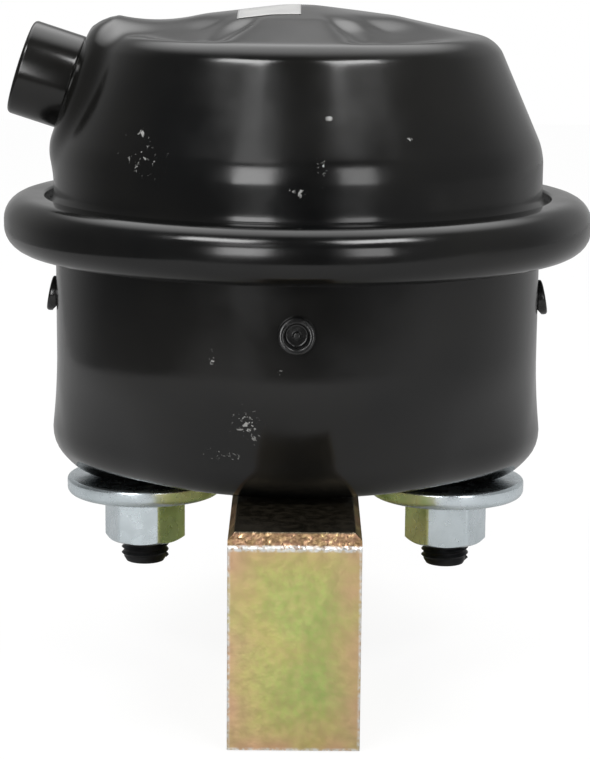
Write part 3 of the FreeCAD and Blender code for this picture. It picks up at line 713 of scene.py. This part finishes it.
def valleyDepth(spot, setup):
    # Two valleys stand beside each rib of the crown, a small ridge between them
    radius = math.hypot(spot.x, spot.y)
    turn = abs((math.degrees(math.atan2(spot.x, -spot.y)) - setup["turn"] + 180) % 360 - 180)
    turn = min(turn, 180 - turn)
    reach, most = setup["crease"]
    crease = min(math.degrees(math.asin(min(reach / max(radius, 1), 1))), most)
    ridge = setup["ribFoot"] + setup["ridgeShare"] * (crease - setup["ribFoot"])
    angles = (setup["ribEdge"], setup["ribFoot"], ridge, crease, setup["sideRib"])
    depths = (0, *setup["depths"], 0)
    depth = 0
    for low, high, before, after in zip(angles, angles[1:], depths, depths[1:]):
        if low <= turn <= high:
            share = (turn - low) / (high - low)
            share = (share + smoothStep(0, 1, share)) / 2
            depth = before + (after - before) * share
    return depth * smoothStep(*setup["inner"], radius) * (1 - smoothStep(*setup["outer"], radius))


def pressCover(bm, setup):
    bm.normal_update()
    for vert in bm.verts:
        if vert.co.z > setup["pressFrom"]:
            vert.co.z -= valleyDepth(vert.co, setup)
    pressed = [v for v in bm.verts if v.co.z > setup["smoothFrom"]]
    for _ in range(2):
        bmesh.ops.smooth_vert(bm, verts=pressed, factor=0.5, use_axis_x=True, use_axis_y=True, use_axis_z=True)
    bm.normal_update()

    # The pad under the port grows out of the pressed surface
    low, right = setup["padFrom"]
    near = [v for v in bm.verts if v.co.z > low and v.co.x < right]
    followField(near, lambda spot: padDistance(spot, setup), setup["padBlend"])


def makeCover(setup):
    bm = drawOutline(setup["outline"], closed=False)
    splitLong(bm, setup["grid"])
    turnOutline(bm, setup["steps"])
    pressCover(bm, setup)
    cover = finishPiece(bm, "coverShell", "chamber", "black_paint", ["pressure_cover"], sharp=70)
    addModifier(cover, "SOLIDIFY", thickness=setup["wall"] * mm, offset=-1)
    addModifier(cover, "SUBSURF", levels=1, render_levels=1)
    return cover


cover = makeCover(coverShape)
print("cover made")

# Foil label, laid on the crown


def makeLabel(setup, under):
    bpy.context.view_layer.update()
    crown = BVHTree.FromObject(under, bpy.context.evaluated_depsgraph_get())
    bm = bmesh.new()
    bmesh.ops.create_grid(bm, x_segments=setup["cuts"], y_segments=setup["cuts"], size=0.5)
    bmesh.ops.scale(bm, vec=(setup["width"], setup["length"], 1), verts=bm.verts[:])
    bmesh.ops.translate(bm, vec=setup["middle"], verts=bm.verts[:])
    for vert in bm.verts:
        spot = crown.ray_cast(Vector((vert.co.x, vert.co.y, 200)) * mm, Vector((0, 0, -1)))[0]
        vert.co.z = spot.z / mm + setup["lift"]
    bmesh.ops.recalc_face_normals(bm, faces=bm.faces[:])
    label = finishPiece(bm, "foilLabel", "chamber", "foil", ["label_plate"])
    addModifier(label, "SOLIDIFY", thickness=setup["thickness"] * mm, offset=-1)
    return label


makeLabel(labelShape, cover)
print("label laid")

# Port boss, turned, with the thread inside it

bossShape = {
    "radius": 11.7,
    "length": 13.8,
    "round": 1.1,
    "bore": 7.5,
    "mouth": 0.9,  # the chamfer at the thread's mouth
    "threadPitch": 1.5,
    "threadDepth": 0.75,
    "threadEnds": (0.9, 1.5),
    "steps": 96,
}


def addThread(bm, radius, depth, pitch, low, high, steps=48):
    # A ridge wound along the Z axis. A negative depth points inwards, for a bore
    sunk, half = 0.2 * depth, 0.48 * pitch
    ridge = ((radius - sunk, 0, low - half), (radius + depth, 0, low), (radius - sunk, 0, low + half))
    face = bm.faces.new([bm.verts.new(corner) for corner in ridge])
    whole = int(steps * (high - low) / pitch)
    bmesh.ops.spin(
        bm, geom=[face], cent=(0, 0, 0), axis=(0, 0, 1), dvec=(0, 0, pitch / steps),
        angle=2 * math.pi * whole / steps, steps=whole, use_merge=False,
    )


def makeBoss(setup):
    bm = drawOutline([
        (setup["bore"], 0),
        (setup["radius"], 0, setup["round"]),
        (setup["radius"], setup["length"], setup["round"]),
        (setup["bore"] + setup["mouth"], setup["length"]),
        (setup["bore"], setup["length"] - setup["mouth"]),
    ])
    turnOutline(bm, setup["steps"])
    start, stop = setup["threadEnds"]
    addThread(bm, setup["bore"], -setup["threadDepth"], setup["threadPitch"], start, setup["length"] - stop)
    bmesh.ops.recalc_face_normals(bm, faces=bm.faces[:])
    aim, foot = portAxis()
    place = Matrix.Translation(foot) @ aim.to_track_quat("Z", "Y").to_matrix().to_4x4()
    return finishPiece(bm, "portBoss", "chamber", "black_paint", ["port_boss"], place=place)


makeBoss(bossShape)
print("port boss made")

# Clamp ring

ringShape = {
    "outer": 72.3,
    "inner": 62.3,
    "innerLow": 60.0,
    "top": 117.0,
    "foot": 103.6,
    "sheet": 2.2,
    "round": 5.9,
    "lipRound": 0.7,
    "steps": 192,
}


def makeRing(setup):
    sheet, top, foot = setup["sheet"], setup["top"], setup["foot"]
    inside, roundInside = setup["outer"] - sheet, setup["round"] - sheet
    bm = drawOutline([
        (setup["inner"], top, setup["lipRound"]),
        (setup["outer"], top, setup["round"]),
        (setup["outer"], foot, setup["round"]),
        (setup["innerLow"], foot, setup["lipRound"]),
        (setup["innerLow"], foot + sheet),
        (inside, foot + sheet, roundInside),
        (inside, top - sheet, roundInside),
        (setup["inner"], top - sheet),
    ])
    turnOutline(bm, setup["steps"])
    return finishPiece(bm, "clampRing", "chamber", "black_paint", ["clamp_ring"])


makeRing(ringShape)
print("clamp ring made")

# Studs with real threads on their tips

studShape = {
    "offset": 38.1,
    "tip": 23.2,
    "tipChamfer": (0.6, 1.0),
    "threadFoot": 24.4,
    "threadTop": 33,
    "shankTop": 48.0,
    "headTop": 52.0,
    "headRadius": 10.5,
    "core": 5.35,
    "headRound": 1,
    "threadDepth": 0.62,
    "pitch": 1.5,
    "steps": 64,
}


def sideName(side):
    return "Left" if side < 0 else "Right"


def makeStud(side, setup):
    inward, up = setup["tipChamfer"]
    bm = drawOutline([
        (0, setup["tip"]),
        (setup["core"] - inward, setup["tip"]),
        (setup["core"], setup["tip"] + up),
        (setup["core"], setup["shankTop"]),
        (setup["headRadius"], setup["shankTop"]),
        (setup["headRadius"], setup["headTop"], setup["headRound"]),
        (0, setup["headTop"]),
    ], closed=False)
    turnOutline(bm, setup["steps"])
    addThread(bm, setup["core"], setup["threadDepth"], setup["pitch"], setup["threadFoot"], setup["threadTop"])
    bmesh.ops.recalc_face_normals(bm, faces=bm.faces[:])
    name = sideName(side)
    place = Matrix.Translation((side * setup["offset"], 0, 0))
    return finishPiece(bm, f"stud{name}", "chamber", "dark_steel", [f"stud_{name.lower()}"], place=place)


for side in (-1, 1):
    makeStud(side, studShape)
print("studs made")

# Washers with rounded rims

washerShape = {
    "radius": 19.5,
    "bore": 5.7,
    "foot": 41.0,
    "top": 45.5,
    "roundFoot": 1.8,
    "roundTop": 1.0,
    "roundBore": 0.3,
    "steps": 96,
}


def makeWasher(side, setup):
    bm = drawOutline([
        (setup["bore"], setup["foot"], setup["roundBore"]),
        (setup["radius"], setup["foot"], setup["roundFoot"]),
        (setup["radius"], setup["top"], setup["roundTop"]),
        (setup["bore"], setup["top"], setup["roundBore"]),
    ])
    turnOutline(bm, setup["steps"])
    name = sideName(side)
    place = Matrix.Translation((side * studShape["offset"], 0, 0))
    return finishPiece(bm, f"washer{name}", "chamber", "clear_zinc", [f"washer_{name.lower()}"], place=place)


for side in (-1, 1):
    makeWasher(side, washerShape)
print("washers made")

# Nuts, with their corners turned down at both ends

nutShape = {
    "across": 18,
    "foot": 29,
    "top": 41,
    "rim": 8.8,
    "rimRound": 0.3,
    "bore": 5.5,
    "countersink": (1.8, 0.8),  # how far it widens, and how deep it goes
    "edgeRound": 0.6,
    "steps": (96, 48),
}


def carve(piece, bm, operation):
    # Cuts a piece with a second shape, or keeps what they share
    bmesh.ops.scale(bm, vec=(mm, mm, mm), verts=bm.verts[:])
    mesh = bpy.data.meshes.new("cutter")
    bm.to_mesh(mesh)
    bm.free()
    cutter = bpy.data.objects.new("cutter", mesh)
    bpy.context.scene.collection.objects.link(cutter)
    addModifier(piece, "BOOLEAN", object=cutter, operation=operation, solver="EXACT")
    bpy.context.view_layer.update()
    made = bpy.data.meshes.new_from_object(piece.evaluated_get(bpy.context.evaluated_depsgraph_get()))
    piece.modifiers.clear()
    piece.data = made
    bpy.data.objects.remove(cutter)


def smoothPiece(piece, sharp=35):
    piece.data.shade_smooth()
    piece.data.set_sharp_from_angle(angle=math.radians(sharp))


def bevelEdges(bm, edges, offset, segments):
    bmesh.ops.bevel(
        bm, geom=edges, offset=offset, offset_type="OFFSET", segments=segments,
        profile=0.5, affect="EDGES", material=-1,
    )


def uprightEdges(bm):
    return [e for e in bm.edges if abs(e.verts[0].co.z - e.verts[1].co.z) > 1]


def makeNut(side, turn, setup):
    name = sideName(side)
    middle = (side * studShape["offset"], 0, 0)
    foot, top, rim = setup["foot"], setup["top"], setup["rim"]
    corner = setup["across"] / 2 / math.cos(math.radians(30))
    bm = bmesh.new()
    bmesh.ops.create_cone(bm, cap_ends=True, segments=6, radius1=corner, radius2=corner, depth=top - foot)
    bevelEdges(bm, uprightEdges(bm), setup["edgeRound"], 3)
    spin = Matrix.Rotation(math.radians(30 + turn), 3, "Z")
    bmesh.ops.rotate(bm, cent=(0, 0, 0), matrix=spin, verts=bm.verts[:])
    bmesh.ops.translate(bm, vec=(middle[0], 0, (foot + top) / 2), verts=bm.verts[:])
    nut = finishPiece(bm, f"nut{name}", "chamber", "clear_zinc", [f"nut_{name.lower()}"])

    drop = (corner - rim) * math.tan(math.radians(30))
    turned = [
        (0, foot), (rim, foot, setup["rimRound"]), (corner, foot + drop),
        (corner, top - drop), (rim, top, setup["rimRound"]), (0, top),
    ]
    wider, deep = setup["countersink"]
    bored = [
        (0, foot - 1), (setup["bore"] + wider, foot - 1), (setup["bore"], foot + deep),
        (setup["bore"], top + 1), (0, top + 1),
    ]
    for outline, steps, operation in zip((turned, bored), setup["steps"], ("INTERSECT", "DIFFERENCE")):
        bm = drawOutline(outline, closed=False)
        turnOutline(bm, steps)
        bmesh.ops.translate(bm, vec=middle, verts=bm.verts[:])
        carve(nut, bm, operation)
    smoothPiece(nut, 25)


makeNut(-1, -7, nutShape)
makeNut(1, 0, nutShape)
print("nuts made")

# Lower housing: its front and back taper to the floor, and two flat pads are pressed down round the studs

housingRadius = 59.7
ventLevel = 91.5
housingShape = {
    "outline": [  # from the guide's hole to the flange
        (12.1, 52.0),
        (41.0, 52.0, 8),
        (46.5, 50.75, 8),
        (housingRadius, 50.75, 7.5),
        (housingRadius, 105.8),
        (66.5, 105.8),
    ],
    "wall": 2.5,
    "steps": 192,
    "grid": 1.5,
    "taperTop": 77,
    "taperSlope": 0.268,
    "taperMost": 20.5,
    "taperFade": (42, 80),  # degrees from the front or back
    "taperReach": (38, 50),  # it starts between these radii
    "taperSoft": (4, 6),
    "padFace": 45.5,
    "padRadius": 15.4,
    "padSlope": (0.6, 0.857),  # its run for each rise, and what makes that a distance
    "padWaist": (21.3, 58, 0.25),
    "padStretch": 1.15,
    "padSoft": 3,
    "padEdge": 5,
    "padBlend": 6,
    "padReach": (84, 12),  # only points below and out of this can belong to the pads
    "smoothReach": (58, 14),
    "studHole": (5.8, 20, 42),  # radius, length and middle of the cutter
    "ventHole": (2.9, 10, 58.5),
}


def studPadDistance(spot, setup):
    # Distance to a tapered pad, wider up to its waist and narrower above it
    away = math.hypot(abs(spot.x) - studShape["offset"], spot.y * setup["padStretch"])
    rise = spot.z - setup["padFace"]
    run, share = setup["padSlope"]
    low = (away - setup["padRadius"] - run * rise) * share
    waist, level, lean = setup["padWaist"]
    high = away - waist + lean * (spot.z - level)
    return softMax(-rise, softMax(low, high, setup["padSoft"]), setup["padEdge"])


def pressHousing(bm, setup):
    startSoft, endSoft = setup["taperSoft"]
    for vert in bm.verts:
        radius = math.hypot(vert.co.x, vert.co.y)
        turn = abs(math.degrees(math.atan2(vert.co.x, -vert.co.y)))
        share = 1 - smoothStep(*setup["taperFade"], min(turn, 180 - turn))
        drop = softMax(setup["taperTop"] - vert.co.z, 0, startSoft)
        drop = -softMax(-drop, -setup["taperMost"], endSoft)
        inward = setup["taperSlope"] * drop * share * smoothStep(*setup["taperReach"], radius)
        vert.co.xy *= 1 - inward / radius
    bm.normal_update()

    def near(reach):
        return [v for v in bm.verts if v.co.z < reach[0] and abs(v.co.x) > reach[1]]

    followField(near(setup["padReach"]), lambda spot: studPadDistance(spot, setup), setup["padBlend"])
    lowest = near(setup["smoothReach"])
    bmesh.ops.smooth_vert(bm, verts=lowest, factor=0.4, use_axis_x=True, use_axis_y=True, use_axis_z=True)


def addRod(bm, radius, length, spot, axis, segments=48):
    made = bmesh.ops.create_cone(
        bm, cap_ends=True, segments=segments, radius1=radius, radius2=radius, depth=length,
    )
    turn = Vector(axis).to_track_quat("Z", "Y").to_matrix()
    bmesh.ops.rotate(bm, cent=(0, 0, 0), matrix=turn, verts=made["verts"])
    bmesh.ops.translate(bm, vec=spot, verts=made["verts"])


def makeHousing(setup):
    bm = drawOutline(setup["outline"], closed=False)
    splitLong(bm, setup["grid"])
    turnOutline(bm, setup["steps"])
    bmesh.ops.reverse_faces(bm, faces=bm.faces[:])  # an open pot comes out turned inwards
    pressHousing(bm, setup)
    housing = finishPiece(bm, "housingShell", "chamber", "black_paint", ["lower_housing"])
    addModifier(housing, "SOLIDIFY", thickness=setup["wall"] * mm, offset=-1)
    studHole, studLength, middle = setup["studHole"]
    ventHole, ventLength, wall = setup["ventHole"]
    bm = bmesh.new()
    for side in (-1, 1):
        addRod(bm, studHole, studLength, (side * studShape["offset"], 0, middle), (0, 0, 1))
        addRod(bm, ventHole, ventLength, (side * wall, 0, ventLevel), (1, 0, 0))
        addRod(bm, ventHole, ventLength, (0, side * wall, ventLevel), (0, 1, 0))
    carve(housing, bm, "DIFFERENCE")
    smoothPiece(housing, 40)


makeHousing(housingShape)
print("lower housing made")

# Rubber vent plugs, each with a lip that stands off the wall at its lower side

ventShape = {
    "outline": [  # radius and height above the wall, from the core to the barb inside
        (0, 1.5),
        (0.8, 1.5, 0.3),
        (0.9, 0.4, 0.2),
        (2.6, 0.4, 0.5),
        (2.9, 2.0, 0.5),
        (4.3, 2.0, 0.7),
        (4.3, -0.15, 0.3),
        (2.8, -0.15),
        (2.8, -2.6),
        (3.6, -2.6, 0.3),
        (3.2, -3.9, 0.5),
        (0, -3.9),
    ],
    "lip": (1.1, 2.7),  # its height at the top and at the foot
    "lipHeight": 2.0,  # as drawn
    "lipRadius": 4.3,
    "lipFrom": 0.3,
    "notch": 1.2,
    "notchFrom": (-1, 3.5),
    "notchFade": (0.55, 1),
    "steps": 64,
}


def makeVent(name, turn, setup):
    bm = drawOutline(setup["outline"], closed=False)
    turnOutline(bm, setup["steps"])
    top, foot = setup["lip"]
    deep, wide = setup["notchFrom"]
    for vert in bm.verts:
        down = -vert.co.y / setup["lipRadius"]
        if vert.co.z > setup["lipFrom"]:
            vert.co.z *= (top + (foot - top) * (1 + down) / 2) / setup["lipHeight"]
        elif vert.co.z > deep and math.hypot(vert.co.x, vert.co.y) > wide:
            vert.co.z += setup["notch"] * smoothStep(*setup["notchFade"], down)
    place = (
        Matrix.Rotation(math.radians(turn), 4, "Z")
        @ Matrix.Translation((0, -housingRadius, ventLevel))
        @ Matrix.Rotation(math.radians(90), 4, "X")
    )
    finishPiece(bm, f"vent{name}", "chamber", "black_rubber", [f"vent_plug_{name.lower()}"], place=place)


for name, turn in (("Front", 0), ("Right", 90), ("Back", 180), ("Left", 270)):
    makeVent(name, turn, ventShape)
print("vent plugs made")

# Yoke bar, sawn and chamfered at its ends, with the lever's slot cut from below

barShape = {
    "width": 30,
    "reach": 80,
    "height": 50,
    "endChamfer": 3,
    "sideChamfer": 1.6,
    "edgeRound": 0.4,
    "teeth": (70, 9),  # across and down each sawn chamfer
    "grain": (1.7, 0.7, 0.6, 0.3),  # scale and share of the noise, share of chance, and what both lose
    "roughness": 0.28,
    "seed": 4,
    "slot": (16, 60, 34, 4),  # width, length, depth and corner
    "leverPin": (6, 15),  # radius and level
    "rodPin": (2.5, 42),
    "rodBore": (7, 30),  # radius and the cutter's length
    "lockScrew": (2.5, 11.5),  # radius and place along the bar's width
}


def sliceAcross(bm, point, normal, geom, fill=False):
    made = bmesh.ops.bisect_plane(bm, geom=geom, plane_co=point, plane_no=normal, clear_outer=fill)
    if fill:
        rim = [part for part in made["geom_cut"] if isinstance(part, bmesh.types.BMEdge)]
        bmesh.ops.contextual_create(bm, geom=rim)


def addBlock(bm, size, middle):
    bmesh.ops.create_cube(bm, size=1)
    bmesh.ops.scale(bm, vec=size, verts=bm.verts[:])
    bmesh.ops.translate(bm, vec=(0, 0, middle), verts=bm.verts[:])


def sawnParts(bm, side):
    # The faces of one end chamfer, with their edges and points, each once
    faces = [f for f in bm.faces if f.normal.y * side > 0.5 and f.normal.z > 0.5]
    edges = [e for f in faces for e in f.edges]
    verts = list(dict.fromkeys(v for f in faces for v in f.verts))
    return list(dict.fromkeys(faces + edges + verts)), verts


def roughenChamfer(bm, side, setup):
    half, height, chamfer = setup["width"] / 2, setup["height"], setup["endChamfer"]
    across, along = setup["teeth"]
    for index in range(1, across):
        sliceAcross(bm, (half * (2 * index / across - 1), 0, 0), (1, 0, 0), sawnParts(bm, side)[0])
    for index in range(1, along):
        sliceAcross(bm, (0, 0, height - chamfer * index / along), (0, 0, 1), sawnParts(bm, side)[0])
    scale, smooth, rough, loss = setup["grain"]
    for vert in sorted(sawnParts(bm, side)[1], key=lambda v: (round(v.co.z, 4), round(v.co.x, 4))):
        grain = noise.noise(vert.co * scale) * smooth + random.uniform(-0.5, 0.5) * rough
        depth = (grain - loss) * setup["roughness"]
        if vert.co.z < height - chamfer + 0.01:
            vert.co.z += depth
        elif vert.co.z > height - 0.01:
            vert.co.y += side * depth
        elif abs(vert.co.x) < half - setup["sideChamfer"]:
            vert.co += Vector((0, side * 0.7, 0.7)) * depth


def makeBar(setup):
    half, reach, height = setup["width"] / 2, setup["reach"], setup["height"]
    bm = bmesh.new()
    addBlock(bm, (2 * half, 2 * reach, height), height / 2)
    for side in (-1, 1):
        for point, normal in (
            ((0, side * reach, height - setup["endChamfer"]), (0, side, 1)),
            ((side * half, 0, height - setup["sideChamfer"]), (side, 0, 1)),
        ):
            sliceAcross(bm, point, normal, bm.verts[:] + bm.edges[:] + bm.faces[:], fill=True)
    upright = [e for e in uprightEdges(bm) if e.calc_length() > height / 2]
    bevelEdges(bm, upright, setup["edgeRound"], 2)
    bm.normal_update()
    random.seed(setup["seed"])
    for side in (-1, 1):
        roughenChamfer(bm, side, setup)
    bar = finishPiece(bm, "yokeBar", "push_rod_group", "yellow_zinc", ["yoke_bar"], sharp=30)

    width, length, depth, corner = setup["slot"]
    below = 10
    bm = bmesh.new()
    addBlock(bm, (width, length, depth + below), (depth - below) / 2)
    bevelEdges(bm, uprightEdges(bm), corner, 6)
    carve(bar, bm, "DIFFERENCE")
    bore, boreLength = setup["rodBore"]
    screw, place = setup["lockScrew"]
    pins = (setup["leverPin"], setup["rodPin"])
    rods = [(radius, 4 * half, (0, 0, level), (1, 0, 0), 48) for radius, level in pins]
    rods.append((bore, boreLength, (0, 0, height), (0, 0, 1), 48))
    rods.append((screw, boreLength, (place, 0, 0), (0, 0, 1), 32))
    for rod in rods:
        bm = bmesh.new()
        addRod(bm, *rod)
        carve(bar, bm, "DIFFERENCE")
    smoothPiece(bar, 25)


makeBar(barShape)
print("yoke bar made")

# Spring and diaphragm change their shape over the stroke; plain copies of the CAD's meshes stand for them

strokeShape = {
    "stroke": 44,
    "weld": 0.001,
    "clamped": 112,  # the diaphragm's bead, below this level, stays in the rim
    "crown": 149,  # its middle, above this one, goes with the rod
}


def copyNode(node, setup):
    bm = bmesh.new()
    bm.from_mesh(nodes[node].data)
    bmesh.ops.scale(bm, vec=(1 / mm, 1 / mm, 1 / mm), verts=bm.verts[:])
    bmesh.ops.remove_doubles(bm, verts=bm.verts[:], dist=setup["weld"])
    return bm


def makeSpring(setup):
    bm = copyNode("return_spring", setup)
    spring = finishPiece(bm, "returnSpring", "chamber", "spring_steel", ["return_spring"], sharp=60)
    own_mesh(spring)


def makeDiaphragm(setup):
    bm = copyNode("diaphragm", setup)
    cup = finishPiece(bm, "diaphragmCup", None, "black_rubber", ["diaphragm"])
    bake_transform(cup)


makeSpring(strokeShape)
print("return spring made")
makeDiaphragm(strokeShape)
print("diaphragm made")
